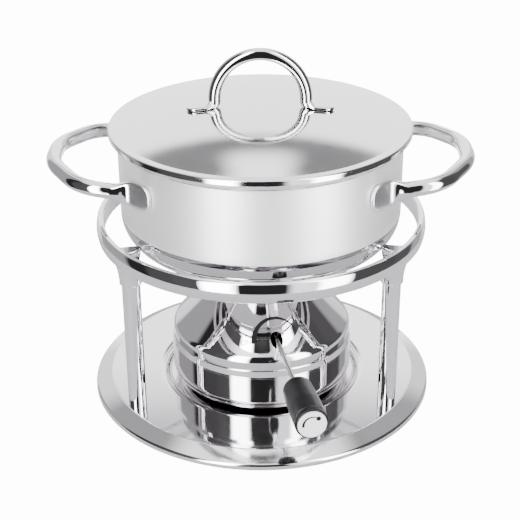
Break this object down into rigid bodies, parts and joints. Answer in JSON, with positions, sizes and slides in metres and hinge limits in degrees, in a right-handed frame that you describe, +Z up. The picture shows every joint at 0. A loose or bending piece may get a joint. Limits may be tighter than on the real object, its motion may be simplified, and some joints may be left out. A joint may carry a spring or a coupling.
{
  "type": "fondue pot set",
  "caption": "Covered steel fondue pot with two loop handles on a round ring stand, over a gas burner with a control rod that stands in a round tray.",
  "frame": {"origin": "on the table, on the axis of the round tray, where the stand's underside meets the table", "axes": "+Z up along the axis of the tray, the burner, the pot and the lid; -Y is the front, where the control rod points; the two pot handles lie along +X and -X"},
  "size_m": [0.332, 0.3195, 0.2855],
  "materials": {
    "tray_steel": "mirror-polished pressed stainless steel",
    "stand_steel": "polished stainless steel",
    "pot_steel": "satin-brushed stainless steel wall, polished round base",
    "lid_steel": "softly polished stainless steel",
    "handle_steel": "polished stainless steel",
    "burner_steel": "polished stainless steel",
    "burner_dark_steel": "heat-darkened stainless steel",
    "rod_steel": "bright drawn steel",
    "fastener_steel": "plain zinc-plated steel",
    "core_aluminium": "plain aluminium",
    "valve_brass": "machined brass",
    "grip_black": "black heat-proof moulding",
    "disc_white": "smooth white moulding",
    "black_rubber": "black rubber"
  },
  "bodies": {
    "stand": {"tray": "tray_steel", "support_ring": "stand_steel", "leg_front_left": "stand_steel", "leg_front_right": "stand_steel", "leg_rear": "stand_steel", "bracket_front_left": "stand_steel", "bracket_front_right": "stand_steel", "bracket_rear": "stand_steel", "rubber_feet": "black_rubber", "leg_washers": "fastener_steel", "leg_screws": "fastener_steel", "leg_bottom_bushes": "fastener_steel", "leg_top_bushes": "fastener_steel", "leg_top_studs": "fastener_steel"},
    "burner": {"tank_base": "burner_steel", "tank_cover": "burner_steel", "tank_feet": "black_rubber", "burner_hood": "burner_steel", "valve_body": "valve_brass", "gland_nut": "valve_brass", "gland_seal": "black_rubber", "gas_jet": "valve_brass", "mixing_tube": "burner_dark_steel", "burner_head": "burner_dark_steel", "flame_gauze": "burner_dark_steel", "flame_cap": "burner_dark_steel", "refill_valve_body": "valve_brass", "refill_spring": "fastener_steel"},
    "control": {"control_rod": "rod_steel", "control_grip": "grip_black", "grip_disc": "disc_white"},
    "needle": {"valve_needle": "rod_steel"},
    "refill": {"refill_stem": "valve_brass"},
    "pot": {"pot_shell": "pot_steel", "pot_base_core": "core_aluminium", "pot_base_cap": "pot_steel", "pot_handle_left": "handle_steel", "pot_handle_right": "handle_steel"},
    "lid": {"lid_shell": "lid_steel", "lid_skirt": "lid_steel", "lid_handle": "handle_steel"}
  },
  "joints": [
    {"name": "burner_lift", "type": "slide", "parent": "stand", "child": "burner", "axis": [0, 0, 1], "range_m": [0, 0.008]},
    {"name": "control_turn", "type": "hinge", "parent": "burner", "child": "control", "pos_m": [0, 0, 0.067], "axis": [0.1951, -0.9808, 0], "range_deg": [0, 170]},
    {"name": "needle_travel", "type": "slide", "parent": "burner", "child": "needle", "axis": [0.1951, -0.9808, 0], "range_m": [0, 0.00071]},
    {"name": "refill_press", "type": "slide", "parent": "burner", "child": "refill", "axis": [0, 0, 1], "range_m": [0, 0.0018], "stiffness_N_per_m": 400, "deforming": ["refill_spring"]},
    {"name": "pot_lift", "type": "slide", "parent": "stand", "child": "pot", "axis": [0, 0, 1], "range_m": [0, 0.06]},
    {"name": "lid_lift", "type": "slide", "parent": "pot", "child": "lid", "axis": [0, 0, 1], "range_m": [0, 0.05]}
  ],
  "couplings": [
    {"joint": "needle_travel", "follows": "control_turn", "m_per_rad": 0.000239}
  ]
}
